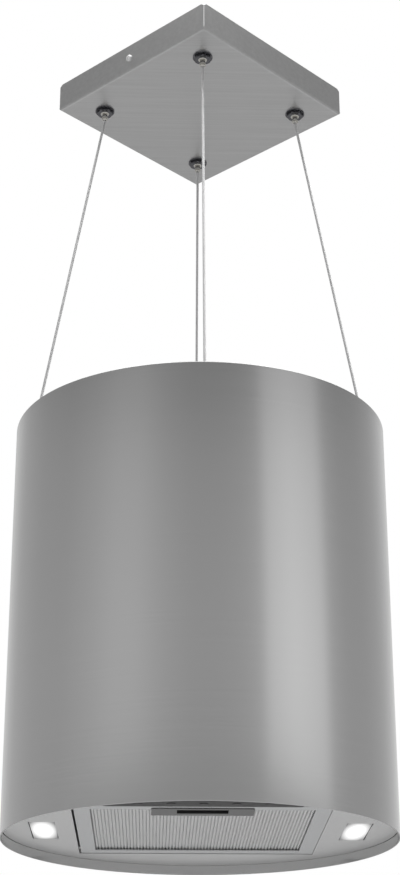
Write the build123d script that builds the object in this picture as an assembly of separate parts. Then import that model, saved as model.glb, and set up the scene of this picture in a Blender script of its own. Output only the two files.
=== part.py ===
"""Island range hood: a steel drum that hangs on four wire ropes from a square ceiling cover.

Units are millimetres. +Z is up, and the origin is the middle of the face that lies on the ceiling.
The cook stands on the -Y side. The ceiling cover is turned, so that its corners point along X and Y.
"""

import os
from math import cos, radians, sin

from build123d import *

# ---- driving dimensions -------------------------------------------------------------------------
SHELL_D = 390.0  # outside diameter of the drum
SHELL_H = 427.0  # height of the drum
SHELL_T = 1.0  # sheet of the drum
DROP = 411.0  # from the ceiling cover's underside down to the drum's rim, ropes fully paid out

COVER_SIDE = 230.0  # square ceiling cover
COVER_H = 34.0
COVER_T = 1.5
ROPE_TOP_R = 110.0  # rope positions at the ceiling, from the axis
ROPE_LOW_R = 181.0  # rope positions at the drum, from the axis
ROPE_D = 3.0
ROPE_BORE_R = ROPE_D / 2 + 0.3  # the holes that a rope runs through

TOP_RECESS = 26.3  # top cover's upper face, below the rim
TOP_COVER_T = 1.2
RING_T = 2.5
PANEL_RECESS = 10.0  # bottom panel's lower face, above the drum's bottom edge
PANEL_T = 1.0

FILTER_SIDE = 240.0  # grease filter cassette
FILTER_T = 10.0
FILTER_LIP = 15.0  # width of the frame round the mesh
RIB_PITCH = 3.3  # ribs of the pressed mesh
GAP_LEFT, GAP_RIGHT, GAP_NEAR, GAP_FAR = 2.2, 0.5, 2.0, 3.5  # round the cassette, in its opening
HINGE_PIN_R = 2.0
HINGE_INSET = 6.0  # hinge line, in from the cassette's far edge

FAN_D = 150.0
FAN_W = 116.0
FAN_Y, FAN_Z = -62.0, -650.0  # fan axis, along X
CASING_W = 130.0
SCROLL_START_R, SCROLL_END_R = 86.0, 132.0
SCROLL_START_DEG = 75.0
SHEET = 1.2  # sheet of the blower and the other inner parts

LAMP_X = 153.0  # lamps, either side of the filter
LAMP_W, LAMP_L, LAMP_DEEP = 24.0, 86.0, 14.0
LAMP_GAP = 0.9

FASCIA_Y = -137.2  # control fascia, in front of the filter
FASCIA_L, FASCIA_W = 184.0, 25.0
BUTTON_PITCH = 30.0
BUTTON_COUNT = 5
BUTTON_D = 8.8

# ---- levels that follow from them ---------------------------------------------------------------
RIM_Z = -(COVER_H + DROP)
BASE_Z = RIM_Z - SHELL_H
SHELL_R = SHELL_D / 2
INNER_R = SHELL_R - SHELL_T
TOP_Z = RIM_Z - TOP_RECESS
RING_TOP_Z = TOP_Z - TOP_COVER_T
RING_Z = RING_TOP_Z - RING_T
PANEL_Z = BASE_Z + PANEL_RECESS
PANEL_TOP_Z = PANEL_Z + PANEL_T
FILTER_TOP_Z = PANEL_Z + FILTER_T
HALF_FILTER = FILTER_SIDE / 2
FILTER_HINGE_Y = HALF_FILTER - HINGE_INSET
FILTER_HINGE_Z = PANEL_Z + FILTER_T / 2
FLOOR_Z = -COVER_H
FOOT_TOP_Z = FLOOR_Z + COVER_T + 2.0
SCROLL_TURN = 360 - SCROLL_START_DEG
SCROLL_GROWTH = (SCROLL_END_R - SCROLL_START_R) / SCROLL_TURN
SCROLL_BOTTOM_Z = FAN_Z - SCROLL_START_R - SCROLL_GROWTH * (270 - SCROLL_START_DEG) - 0.4
OUTLET_Z = -505.0
OUTLET_Y0 = FAN_Y + SCROLL_START_R * cos(radians(SCROLL_START_DEG))
OUTLET_Y1 = FAN_Y + SCROLL_END_R
QUARTERS = {"right": 0, "rear": 90, "left": 180, "front": 270}


# ---- helpers ------------------------------------------------------------------------------------
def block(x0, x1, y0, y1, z0, z1):
    """A box between two corners."""
    return Pos((x0 + x1) / 2, (y0 + y1) / 2, (z0 + z1) / 2) * Box(x1 - x0, y1 - y0, z1 - z0)


def rod(r, z0, z1, x=0.0, y=0.0):
    """An upright cylinder between two levels."""
    return Pos(x, y, (z0 + z1) / 2) * Cylinder(r, z1 - z0)


def tube(r_out, r_in, z0, z1, x=0.0, y=0.0):
    """An upright ring between two levels."""
    return rod(r_out, z0, z1, x, y) - rod(r_in, z0 - 1, z1 + 1, x, y)


def cross_rod(r, x0, x1, y=FAN_Y, z=FAN_Z):
    """A cylinder along X between two stations."""
    return Pos((x0 + x1) / 2, y, z) * Rot(0, 90, 0) * Cylinder(r, x1 - x0)


def hex_nut(across_flats, bore_r, z0, z1, x=0.0, y=0.0):
    """A plain hexagon nut, with its corners turned off by a cone."""
    body = Pos(x, y, z0) * extrude(RegularPolygon(across_flats / 2, 6, major_radius=False), z1 - z0)
    body = body & (Pos(x, y, (z0 + z1) / 2) * chamfer(
        Cylinder(across_flats * 0.575, z1 - z0).edges(), across_flats * 0.045
    ))
    return body - rod(bore_r, z0 - 1, z1 + 1, x, y)


def sector(r0, r1, z0, z1, angle, width):
    """A piece of a ring, of the given width, centred on an angle."""
    slab = Rot(0, 0, angle) * block(r0 * 0.5, r1 + 5, -width / 2, width / 2, z0, z1)
    return tube(r1, r0, z0, z1) & slab


def around(shape, angles):
    """Copies of a shape turned about the drum's axis."""
    return Compound(children=[Rot(0, 0, a) * shape for a in angles])


def group(shapes):
    """Several separate solids in one node."""
    return Compound(children=list(shapes))


# ---- ceiling cover and its hardware -------------------------------------------------------------
def ceiling_cover():
    """A folded square tray, open at the top, with a fine seam at each upright corner."""
    inner = COVER_SIDE - 2 * COVER_T
    outer_box = Pos(0, 0, -COVER_H / 2) * Box(COVER_SIDE, COVER_SIDE, COVER_H)
    outer_box = fillet(outer_box.edges().group_by(Axis.Z)[0], 2.6)
    inner_box = Pos(0, 0, (COVER_T) / 2 - COVER_H / 2 + 0.5) * Box(inner, inner, COVER_H - COVER_T + 1)
    inner_box = fillet(inner_box.edges().group_by(Axis.Z)[0], 1.1)
    tray = Rot(0, 0, 45) * (outer_box - inner_box)
    corner_r = COVER_SIDE / 2 * 2**0.5
    seam = block(corner_r - 8, corner_r + 2, -0.25, 0.25, -COVER_H + 3.4, 1)
    trim = Pos(corner_r, 0, 0) * Rot(0, 45, 0) * Box(4.0, 12, 4.0)
    for angle in QUARTERS.values():
        tray -= Rot(0, 0, angle) * (seam + trim)
        tray -= Rot(0, 0, angle) * rod(5.2, FLOOR_Z - 1, FLOOR_Z + 5, ROPE_TOP_R)
    side_hole = Pos(0, 0, -COVER_H / 2) * Rot(0, 90, 0) * Cylinder(2.9, COVER_SIDE + 4)
    return tray - Rot(0, 0, 45) * side_hole


def ceiling_bracket():
    """The load-bearing plate: four stepped arms reach down to the cover's floor, two ears take screws."""
    plate_half = 75.0
    bracket = Rot(0, 0, 45) * block(-plate_half, plate_half, -plate_half, plate_half, -2, 0)
    bracket -= rod(12.5, -3, 1, 32, 32)
    foot_z = FOOT_TOP_Z - 2
    arm = block(80, 97, -13, 13, -2, 0)
    arm += block(95, 97, -13, 13, foot_z, 0)
    arm += block(95, 124, -13, 13, foot_z, FOOT_TOP_Z)
    arm -= rod(5.2, foot_z - 1, FOOT_TOP_Z + 1, ROPE_TOP_R)
    wall = COVER_SIDE / 2 - COVER_T
    ear = block(plate_half - 2, wall - 0.5, -12, 12, -2, 0)
    ear += block(wall - 2.5, wall - 0.5, -12, 12, -26, 0)
    ear -= Pos(wall, 0, -COVER_H / 2) * Rot(0, 90, 0) * Cylinder(2.5, 12)
    for angle in QUARTERS.values():
        bracket += Rot(0, 0, angle) * arm
        bracket -= Rot(0, 0, angle) * rod(3.5, -3, 1, 70)
    for angle in (45, 225):
        bracket += Rot(0, 0, angle) * ear
    return bracket


def cover_screws():
    """Two domed screws hold the cover to the bracket's ears."""
    wall = COVER_SIDE / 2
    shank = Pos(wall - 4, 0, -COVER_H / 2) * Rot(0, 90, 0) * Cylinder(2.5, 12)
    head = Pos(wall + 1.1, 0, -COVER_H / 2) * Rot(0, 90, 0) * Cylinder(4.0, 2.2)
    head = fillet(head.edges().sort_by(Axis.X)[-1], 1.6)
    socket = Pos(wall + 2, 0, -COVER_H / 2) * Rot(0, 90, 0) * extrude(RegularPolygon(1.5, 6), 1)
    return around(shank + head - socket, (45, 225))


def gripper_barrels():
    """Threaded barrels through the cover, bored for the rope and, lower down, for the plunger."""
    barrel = chamfer(rod(5.0, -38.6, -14, ROPE_TOP_R).edges(), 0.6)
    barrel -= rod(ROPE_BORE_R, -40, -13, ROPE_TOP_R)
    barrel -= rod(3.1, -40, -24, ROPE_TOP_R)
    return around(barrel, QUARTERS.values())


def gripper_plunger(angle):
    """The sprung nose that the rope leaves through; pushed up, it frees the rope."""
    nose = rod(3.0, -46.6, -27, ROPE_TOP_R)
    nose = chamfer(nose.edges().sort_by(Axis.Z)[0], 0.9)
    collar = rod(3.6, -44.6, -42.8, ROPE_TOP_R)
    return Rot(0, 0, angle) * (nose + collar - rod(ROPE_BORE_R, -48, -26, ROPE_TOP_R))


def rope_line(angle):
    """The rope's centre line: down the barrel, straight to the anchor, and into it."""
    low = TOP_Z + 14
    upper = [(ROPE_TOP_R, 0, -13), (ROPE_TOP_R, 0, -47.6)]
    lower = [(ROPE_LOW_R, 0, low + 2.5), (ROPE_LOW_R, 0, low - 9)]
    return Rot(0, 0, angle) * FilletPolyline(*upper, *lower, radius=12)


def rope(angle):
    """A taut wire rope, from its gripper to its anchor."""
    line = rope_line(angle)
    return sweep(Plane(origin=line @ 0, z_dir=line % 0) * Circle(ROPE_D / 2), path=line)


def rope_tails():
    """The spare end of each rope, laid round inside the cover."""
    start = (ROPE_TOP_R, 0, -13)
    line = FilletPolyline(start, (ROPE_TOP_R, 0, -7), (ROPE_TOP_R - 2, 34, -6), (78, 62, -6), radius=[3, 14])
    tail = sweep(Plane(origin=line @ 0, z_dir=line % 0) * Circle(ROPE_D / 2), path=line)
    return around(tail, QUARTERS.values())


# ---- drum ---------------------------------------------------------------------------------------
def shell():
    """The rolled drum, with a hem turned in at the rim and a hairline seam at the back."""
    drum = tube(SHELL_R, INNER_R, BASE_Z, RIM_Z)
    drum += tube(INNER_R + 0.2, INNER_R - 5, RIM_Z - SHELL_T, RIM_Z)
    rim_edges = drum.edges().filter_by(GeomType.CIRCLE).group_by(Axis.Z)[-1]
    drum = chamfer(rim_edges.sort_by(SortBy.RADIUS)[-1], 0.4)
    return drum - block(-0.2, 0.2, INNER_R - 6, SHELL_R + 1, BASE_Z - 1, RIM_Z + 1)


def seam_strip():
    """A strip behind the seam, welded to both edges."""
    return sector(INNER_R - 1.0, INNER_R, BASE_Z + 30, RIM_Z - 34, 90, 18)


def shell_tabs():
    """Angle tabs welded inside the drum: four carry the top ring, four hold the bottom panel."""
    upper = sector(INNER_R - 1.5, INNER_R, RING_Z - 16, RING_Z, 45, 22)
    upper += sector(178, INNER_R, RING_Z - 1.5, RING_Z, 45, 22)
    upper -= Rot(0, 0, 45) * rod(2.1, RING_Z - 3, RING_Z + 1, 185)
    lower = sector(INNER_R - 1.5, INNER_R, PANEL_TOP_Z, PANEL_TOP_Z + 15, 45, 22)
    lower += sector(178, INNER_R, PANEL_TOP_Z, PANEL_TOP_Z + 1.5, 45, 22)
    lower -= Rot(0, 0, 45) * rod(2.1, PANEL_TOP_Z - 1, PANEL_TOP_Z + 3, 185)
    return group([Rot(0, 0, a) * t for a in QUARTERS.values() for t in (upper, lower)])


def support_ring():
    """The flat ring that takes the ropes' pull."""
    ring = tube(INNER_R - 0.7, 162, RING_Z, RING_TOP_Z)
    for angle in QUARTERS.values():
        ring -= Rot(0, 0, angle) * rod(4.2, RING_Z - 1, RING_TOP_Z + 1, ROPE_LOW_R)
        ring -= Rot(0, 0, angle + 45) * rod(2.0, RING_Z - 1, RING_TOP_Z + 1, 185)
    for k in range(6):
        ring -= Rot(0, 0, 15 + 60 * k) * rod(2.0, RING_Z - 1, RING_TOP_Z + 1, 170)
    return ring


def rim_screws():
    """Four screws from below, through the tabs into the ring."""
    screw = rod(2.0, RING_Z - 1.6, RING_TOP_Z, 185) + rod(3.8, RING_Z - 4.4, RING_Z - 1.5, 185)
    return around(Rot(0, 0, 45) * screw, QUARTERS.values())


def top_cover():
    """The recessed lid, slotted over the outlet, with holes for the anchors, the gland and six screws."""
    lid = rod(INNER_R - 0.7, RING_TOP_Z, TOP_Z)
    slot = Pos(0, 15, (RING_TOP_Z + TOP_Z) / 2) * extrude(SlotOverall(112, 5), 4, both=True)
    pitch = 9.0
    for k in range(-5, 6):
        lid -= Pos(0, k * pitch, 0) * slot
    for angle in QUARTERS.values():
        lid -= Rot(0, 0, angle) * rod(4.2, RING_TOP_Z - 1, TOP_Z + 1, ROPE_LOW_R)
    for k in range(6):
        lid -= Rot(0, 0, 15 + 60 * k) * rod(2.1, RING_TOP_Z - 1, TOP_Z + 1, 170)
    return lid - rod(8.1, RING_TOP_Z - 1, TOP_Z + 1, 90, 110)


def top_cover_screws():
    """Six pan-head screws hold the lid to the ring."""
    head = fillet(rod(3.8, TOP_Z, TOP_Z + 2.4, 170).edges().sort_by(Axis.Z)[-1], 1.2)
    screw = head + rod(2.0, RING_Z, TOP_Z + 0.5, 170)
    screw -= Pos(170, 0, TOP_Z + 2.4) * Box(4.2, 1.0, 2.0)
    return around(Rot(0, 0, 15) * screw, [60 * k for k in range(6)])


def rope_anchors():
    """Stepped studs that hold the ropes' swaged ends."""
    body = rod(6.0, TOP_Z, TOP_Z + 14, ROPE_LOW_R)
    body = chamfer(body.edges().sort_by(Axis.Z)[-1], 3.0)
    body += rod(4.0, TOP_Z - 18, TOP_Z + 1, ROPE_LOW_R)
    body -= rod(ROPE_BORE_R, TOP_Z + 4.5, TOP_Z + 15, ROPE_LOW_R)
    return around(body, QUARTERS.values())


def anchor_nuts():
    """Nuts under the ring, one on each anchor."""
    return around(hex_nut(13, 4.0, RING_Z - 6.5, RING_Z, ROPE_LOW_R), QUARTERS.values())


def cable_gland():
    """The inlet for the supply lead: a domed gland on the lid and its locknut below."""
    x, y = 90.0, 110.0
    body = hex_nut(19, 4.5, TOP_Z, TOP_Z + 5, x, y)
    dome = chamfer(rod(8.6, TOP_Z + 5, TOP_Z + 15, x, y).edges().sort_by(Axis.Z)[-1], 2.5)
    stem = rod(8.0, RING_TOP_Z - 9, TOP_Z + 0.5, x, y)
    body = body + dome + stem - rod(4.5, RING_TOP_Z - 10, TOP_Z + 16, x, y)
    return group([body, hex_nut(20, 8.0, RING_TOP_Z - 5, RING_TOP_Z, x, y)])


# ---- chassis and blower -------------------------------------------------------------------------
POST_X, POST_Y, POST_W = 157.0, 65.0, 14.0
RAIL_TOP_Z = SCROLL_BOTTOM_Z - 13.8
RAIL_H = 12.0


def chassis_posts():
    """Four angle posts between the ring and the bottom panel, each with a pad at both ends."""
    half = POST_W / 2
    posts = []
    for sx in (-1, 1):
        for sy in (-1, 1):
            post = block(-half, half, -half, -half + 1.5, PANEL_TOP_Z, RING_Z)
            post += block(half - 1.5, half, -half, half, PANEL_TOP_Z, RING_Z)
            post += block(-half, half, -half, half, RING_Z - 1.5, RING_Z)
            post += block(-half, half, -half, half, PANEL_TOP_Z, PANEL_TOP_Z + 1.5)
            post = mirror(post, Plane.YZ) if sx < 0 else post
            post = mirror(post, Plane.XZ) if sy > 0 else post
            posts.append(Pos(sx * POST_X, sy * POST_Y, 0) * post)
    return group(posts)


def blower_rails():
    """Two square tubes across the drum, from post to post."""
    reach = POST_X - POST_W / 2 - 0.2
    tubes = []
    for y in (-POST_Y, POST_Y):
        bar = block(-reach, reach, y - 6, y + 6, RAIL_TOP_Z - RAIL_H, RAIL_TOP_Z)
        bar -= block(-reach - 1, reach + 1, y - 4.8, y + 4.8, RAIL_TOP_Z - RAIL_H + 1.2, RAIL_TOP_Z - 1.2)
        tubes.append(bar)
    return group(tubes)


def rubber_mounts():
    """Four waisted rubber bushes between the rails and the blower's cradle."""
    top = SCROLL_BOTTOM_Z - 2.0
    bush = rod(9, RAIL_TOP_Z, RAIL_TOP_Z + 3.5) + rod(6.5, RAIL_TOP_Z, top) + rod(9, top - 3.5, top)
    return group([Pos(x, y, 0) * bush for x in (-58, 58) for y in (-POST_Y, POST_Y)])


def blower_cradle():
    """The plate that the blower stands on, with its edges turned down."""
    plate = block(-74, 74, -80, 80, SCROLL_BOTTOM_Z - 2.0, SCROLL_BOTTOM_Z)
    for x in (-73, 73):
        plate += block(x - 1, x + 1, -48, 48, SCROLL_BOTTOM_Z - 9, SCROLL_BOTTOM_Z)
    return plate


def scroll_outline(grow):
    """The volute's side profile in the YZ plane: an opening spiral that ends in an upright outlet."""
    steps = 19
    points = []
    for k in range(steps + 1):
        swept = SCROLL_TURN * k / steps
        r = SCROLL_START_R + SCROLL_GROWTH * swept + grow
        angle = radians(SCROLL_START_DEG + swept)
        points.append((r * cos(angle), r * sin(angle)))
    near, far, top = OUTLET_Y0 - FAN_Y - 2.3 * grow, points[-1][0], OUTLET_Z - FAN_Z
    edge = Spline(*points) + Polyline(points[-1], (far, top), (near, top))
    if grow:
        edge += Polyline((near, top), (near, points[0][1]), points[0])
    else:
        edge += Line((near, top), points[0])
    return make_face(edge)


def scroll_casing():
    """The blower's volute: a sheet casing with a round inlet each side and the outlet at the top."""
    side_plane = Plane(origin=(-CASING_W / 2, FAN_Y, FAN_Z), x_dir=(0, 1, 0), z_dir=(1, 0, 0))
    hollow_plane = Plane(origin=(-CASING_W / 2 + SHEET, FAN_Y, FAN_Z), x_dir=(0, 1, 0), z_dir=(1, 0, 0))
    body = extrude(side_plane * scroll_outline(0), CASING_W)
    body -= extrude(hollow_plane * scroll_outline(-SHEET), CASING_W - 2 * SHEET)
    inner = CASING_W / 2 - SHEET
    body -= block(-inner, inner, OUTLET_Y0 + 2 * SHEET, OUTLET_Y1 - SHEET, OUTLET_Z - 3, OUTLET_Z + 1)
    return body - cross_rod(66, -CASING_W, CASING_W)


def outlet_duct():
    """A straight duct from the volute up to the slotted lid."""
    y0, y1 = OUTLET_Y0, OUTLET_Y1
    half = CASING_W / 2
    duct = block(-half, half, y0, y1, OUTLET_Z, RING_TOP_Z)
    duct -= block(-half + SHEET, half - SHEET, y0 + SHEET, y1 - SHEET, OUTLET_Z - 1, RING_TOP_Z + 1)
    return duct


def impeller():
    """A double-inlet fan wheel: a middle disc, a hub, two end rings and a cage of blades."""
    r_out, r_in, half = FAN_D / 2, 62.0, FAN_W / 2
    wheel = cross_rod(r_out, -1.5, 1.5) + cross_rod(11, -5, 12)
    for x in (-half, half):
        wheel += cross_rod(r_out, x - 1, x + 1) - cross_rod(r_in, x - 2, x + 2)
    blade = Pos(0, (r_out + r_in) / 2, 0) * Rot(18, 0, 0) * Box(FAN_W, r_out - r_in - 1.2, 1.2)
    count = 30
    blades = [Pos(0, FAN_Y, FAN_Z) * Rot(360 * k / count, 0, 0) * blade for k in range(count)]
    return wheel + blades - cross_rod(4.0, -6, 13)


def motor_shaft():
    """The shaft, carried in the motor and fixed in the hub."""
    return chamfer(cross_rod(4.0, -60, 14).edges(), 0.5)


def motor_housing():
    """The motor, inside one half of the fan wheel, with cooling ribs along it."""
    body = cross_rod(40, -64, -9)
    body = fillet(body.edges(), 3)
    rib = Pos(0, 41, 0) * Box(40, 3.5, 2.0)
    ribs = [Pos(-37, FAN_Y, FAN_Z) * Rot(15 + 30 * k, 0, 0) * rib for k in range(12)]
    body = body + ribs - cross_rod(4.05, -61, -8)
    for x in (-58, -16):
        body -= cross_rod(11, x - 3.5, x + 3.5)
    return body


def motor_bearings():
    """Two ball bearings, drawn as rings, in the motor's ends."""
    rings = [cross_rod(11, x - 3.5, x + 3.5) - cross_rod(4.05, x - 4, x + 4) for x in (-58, -16)]
    return group(rings)


def motor_bracket():
    """Three arms from the motor's outer face to a ring round the left inlet."""
    x0, x1 = -CASING_W / 2 - 2.0, -CASING_W / 2
    bracket = cross_rod(74, x0, x1) - cross_rod(66, x0 - 1, x1 + 1)
    bracket += cross_rod(30, x0, x1)
    for k in range(3):
        arm = Rot(90 + 120 * k, 0, 0) * Pos(0, 48, 0) * Box(2.0, 44, 12)
        bracket += Pos((x0 + x1) / 2, FAN_Y, FAN_Z) * arm
    return bracket + cross_rod(22, x1, -64)


def carbon_filters():
    """Round charcoal cartridges over both inlets, their faces slotted."""
    parts = []
    deep = 34
    slot_face = Rot(0, 90, 0) * Pos(0, 48, 0) * SlotOverall(44, 4.5, 90)
    left, right = -CASING_W / 2 - 2 - deep, CASING_W / 2
    for x0, outer_face in ((left, left), (right, right + deep)):
        cup = fillet(cross_rod(80, x0, x0 + deep).edges(), 2)
        slot = Pos(outer_face, 0, 0) * extrude(slot_face, 3, both=True)
        slots = [Pos(0, FAN_Y, FAN_Z) * Rot(15 * k, 0, 0) * slot for k in range(24)]
        parts.append(cup - slots)
    return group(parts)


def control_box():
    """A steel box for the electronics, hung from the ring by a strap."""
    box = block(-60, 60, 106, 166, -640, -560)
    box -= block(-60 + SHEET, 60 - SHEET, 105, 166 - SHEET, -640 + SHEET, -560 - SHEET)
    box -= Pos(30, 140, -560) * Cylinder(6, 10)
    strap = block(-26, 26, 166, 168, -630, RING_Z)
    for side in (-1, 1):
        strap += block(side * 19 - 7, side * 19 + 7, 166, 180, RING_Z - 2, RING_Z)
    return box + strap


def control_box_lid():
    """The lid on the box's front, with its edges turned over."""
    lid = block(-61.5, 61.5, 103.6, 104.8, -641.5, -558.5)
    lid += block(-61.5, 61.5, 104.8, 112, -559.7, -558.5)
    lid += block(-61.5, 61.5, 104.8, 112, -641.5, -640.3)
    return lid


def control_board():
    """The power board on four pillars, with a transformer, relays and terminals."""
    board = block(-54, 54, 150, 151.6, -634, -566)
    board += block(-48, -14, 128, 150.5, -606, -572)
    for k in range(3):
        board += block(-4 + 18 * k, 10 + 18 * k, 136, 150.5, -590, -574)
    for k in range(5):
        board += block(-46 + 16 * k, -34 + 16 * k, 138, 150.5, -630, -620)
    for x in (-50, 50):
        for z in (-630, -570):
            board += Pos(x, 157.9, z) * Rot(90, 0, 0) * Cylinder(2.5, 13.8)
    return board


def capacitor():
    """The motor's run capacitor, beside the box."""
    can = rod(15, -640, -584, 75.3, 124)
    can = fillet(can.edges().sort_by(Axis.Z)[-1], 3)
    return can + [rod(1.5, -585, -574, 75.3 + dx, 124) for dx in (-6, 6)]


# ---- bottom panel, lamps and controls -----------------------------------------------------------
def bottom_panel():
    """The recessed panel, with a flanged opening for the filter and cut-outs for lamps and fascia."""
    x0, x1 = -HALF_FILTER - GAP_LEFT, HALF_FILTER + GAP_RIGHT
    y0, y1 = -HALF_FILTER - GAP_NEAR, HALF_FILTER + GAP_FAR
    panel = rod(INNER_R - 0.5, PANEL_Z, PANEL_TOP_Z)
    panel += block(x0 - 1, x1 + 1, y0 - 1, y1 + 1, PANEL_Z, FILTER_TOP_Z)
    panel -= block(x0, x1, y0, y1, PANEL_Z - 1, FILTER_TOP_Z + 1)
    for side in (-1, 1):
        x = side * LAMP_X
        half_w, half_l = LAMP_W / 2 + LAMP_GAP, LAMP_L / 2 + 0.4
        panel -= block(x - half_w, x + half_w, -half_l, half_l, PANEL_Z - 1, PANEL_TOP_Z + 1)
    half_l, half_w = FASCIA_L / 2 - 4, FASCIA_W / 2 - 3.5
    panel -= block(-half_l, half_l, FASCIA_Y - half_w, FASCIA_Y + half_w, PANEL_Z - 1, PANEL_TOP_Z + 1)
    pin_x = HALF_FILTER + GAP_LEFT + 3
    panel -= Pos(0, FILTER_HINGE_Y, FILTER_HINGE_Z) * Rot(0, 90, 0) * Cylinder(HINGE_PIN_R + 0.05, 2 * pin_x)
    studs = [Rot(0, 0, 45 + 90 * k) * rod(2.0, PANEL_Z + 0.4, PANEL_TOP_Z + 8, 185) for k in range(4)]
    return panel + studs


def panel_nuts():
    """Nuts on the panel's studs, above the drum's tabs."""
    nut = hex_nut(7, 2.0, PANEL_TOP_Z + 1.5, PANEL_TOP_Z + 4.7, 185)
    return around(Rot(0, 0, 45) * nut, QUARTERS.values())


def lamp_housings():
    """Two pressed trays over the lamp cut-outs, each with a flange that sits on the panel."""
    trays = []
    for side in (-1, 1):
        x = side * LAMP_X
        half_w, half_l = LAMP_W / 2, LAMP_L / 2
        top = PANEL_TOP_Z + LAMP_DEEP
        tray = block(x - half_w - 4, x + half_w + 2.2, -half_l - 4, half_l + 4, PANEL_TOP_Z, top)
        hollow_l = half_l + 2.8
        tray -= block(x - half_w - 2.8, x + half_w + 1.0, -hollow_l, hollow_l, PANEL_TOP_Z - 1, top - 1.2)
        trays.append(tray)
    return group(trays)


def lamp_lenses():
    """Frosted lenses, set a hair inside the panel's cut-outs."""
    lenses = []
    for side in (-1, 1):
        x = side * LAMP_X
        half_w, half_l = LAMP_W / 2, LAMP_L / 2
        lens = block(x - half_w, x + half_w, -half_l, half_l, PANEL_Z + 0.2, PANEL_TOP_Z + 4)
        lenses.append(chamfer(lens.edges().group_by(Axis.Z)[0], 0.5))
    return group(lenses)


def led_boards():
    """A strip of six diodes above each lens."""
    boards = []
    for side in (-1, 1):
        x = side * LAMP_X
        z = PANEL_TOP_Z + LAMP_DEEP - 1.2
        board = block(x - 9, x + 9, -40, 40, z - 1.6, z)
        for k in range(6):
            y = -32.5 + 13 * k
            board += block(x - 2, x + 2, y - 2, y + 2, z - 2.6, z - 1.5)
        boards.append(board)
    return group(boards)


def control_fascia():
    """The gloss strip that carries the push-buttons; its box stands up through the panel."""
    half_l, half_w = FASCIA_L / 2, FASCIA_W / 2
    front = block(-half_l, half_l, FASCIA_Y - half_w, FASCIA_Y + half_w, PANEL_Z - 1.2, PANEL_Z)
    front = fillet(front.edges().filter_by(Axis.Z), 3)
    bl, bw = half_l - 4.2, half_w - 3.7
    box = block(-bl, bl, FASCIA_Y - bw, FASCIA_Y + bw, PANEL_Z, PANEL_Z + 12)
    box -= block(-bl + 1.6, bl - 1.6, FASCIA_Y - bw + 1.6, FASCIA_Y + bw - 1.6, PANEL_Z + 1.5, PANEL_Z + 13)
    fascia = front + box
    for k in range(BUTTON_COUNT):
        fascia -= rod(BUTTON_D / 2 + 0.1, PANEL_Z - 2, PANEL_Z + 2, button_x(k), FASCIA_Y)
    return fascia


def button_x(k):
    """Where button k stands along the fascia."""
    return (k - (BUTTON_COUNT - 1) / 2) * BUTTON_PITCH


def button(k):
    """A push-button with a collar that keeps it in the fascia."""
    cap = rod(BUTTON_D / 2, PANEL_Z - 1.7, PANEL_Z + 3.0, button_x(k), FASCIA_Y)
    cap = fillet(cap.edges().sort_by(Axis.Z)[0], 0.8)
    return cap + rod(6.0, PANEL_Z + 1.7, PANEL_Z + 3.0, button_x(k), FASCIA_Y)


def button_board():
    """The switch board above the buttons, with one switch for each."""
    z = PANEL_Z + 7.8
    board = block(-84, 84, FASCIA_Y - 6.6, FASCIA_Y + 6.6, z, z + 1.6)
    for k in range(BUTTON_COUNT):
        x = button_x(k)
        board += block(x - 3, x + 3, FASCIA_Y - 3, FASCIA_Y + 3, z - 3, z + 0.2)
    return board


# ---- grease filter ------------------------------------------------------------------------------
HANDLE_L, HANDLE_W = 96.0, 31.0
HANDLE_Y = -97.0
SLOT_L, SLOT_W = 48.0, 16.0
SLOT_Y = -99.0


def filter_frame():
    """The cassette's frame: a channel round four sides, with pin holes near its far corners."""
    h = HALF_FILTER
    window = h - FILTER_LIP
    frame = block(-h, h, -h, h, PANEL_Z, FILTER_TOP_Z)
    frame -= block(-h + 1, h - 1, -h + 1, h - 1, PANEL_Z + 1, FILTER_TOP_Z - 1)
    frame -= block(-window, window, -window, window, PANEL_Z - 1, FILTER_TOP_Z + 1)
    frame -= block(-26, 26, SLOT_Y - SLOT_W / 2 - 1.2, -window + 1, PANEL_Z - 1, FILTER_TOP_Z + 1)
    pin_hole = Rot(0, 90, 0) * Cylinder(HINGE_PIN_R + 0.15, FILTER_SIDE + 4)
    return frame - Pos(0, FILTER_HINGE_Y, FILTER_HINGE_Z) * pin_hole


def ribbed_sheet(z0, z1, thick):
    """A pressed sheet with ribs along Y, drawn as a folded outline."""
    half = HALF_FILTER - 1.3
    count = int(2 * half / RIB_PITCH)
    reach = count * RIB_PITCH / 2
    low, high = z0, z1 - thick
    lower = [(-reach + k * RIB_PITCH / 2, low if k % 2 else high) for k in range(2 * count + 1)]
    upper = [(x, z + thick) for x, z in reversed(lower)]
    outline = Polyline(*lower, *upper, close=True)
    face = Plane(origin=(0, -half, 0), x_dir=(1, 0, 0), z_dir=(0, -1, 0)) * make_face(outline)
    return extrude(face, -2 * half)


def handle_cut(grow):
    """The space of the handle's pocket, through the mesh."""
    half_l, half_w = SLOT_L / 2 + grow, SLOT_W / 2 + grow
    return block(-half_l, half_l, SLOT_Y - half_w, SLOT_Y + half_w, PANEL_Z - 2, FILTER_TOP_Z + 2)


def filter_mesh():
    """The ribbed outer sheet of the cassette."""
    return ribbed_sheet(PANEL_Z + 1, PANEL_Z + 3.4, 0.5) - handle_cut(1.3)


def filter_core():
    """The layered mesh behind it and the flat sheet on top, drawn as two plates."""
    half = HALF_FILTER - 1.3
    core = block(-half, half, -half, half, PANEL_Z + 3.6, PANEL_Z + 6.8) - handle_cut(1.3)
    back = block(-half, half, -half, half, PANEL_Z + 7.0, PANEL_Z + 8.8) - handle_cut(1.3)
    return group([core, back])


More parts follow.
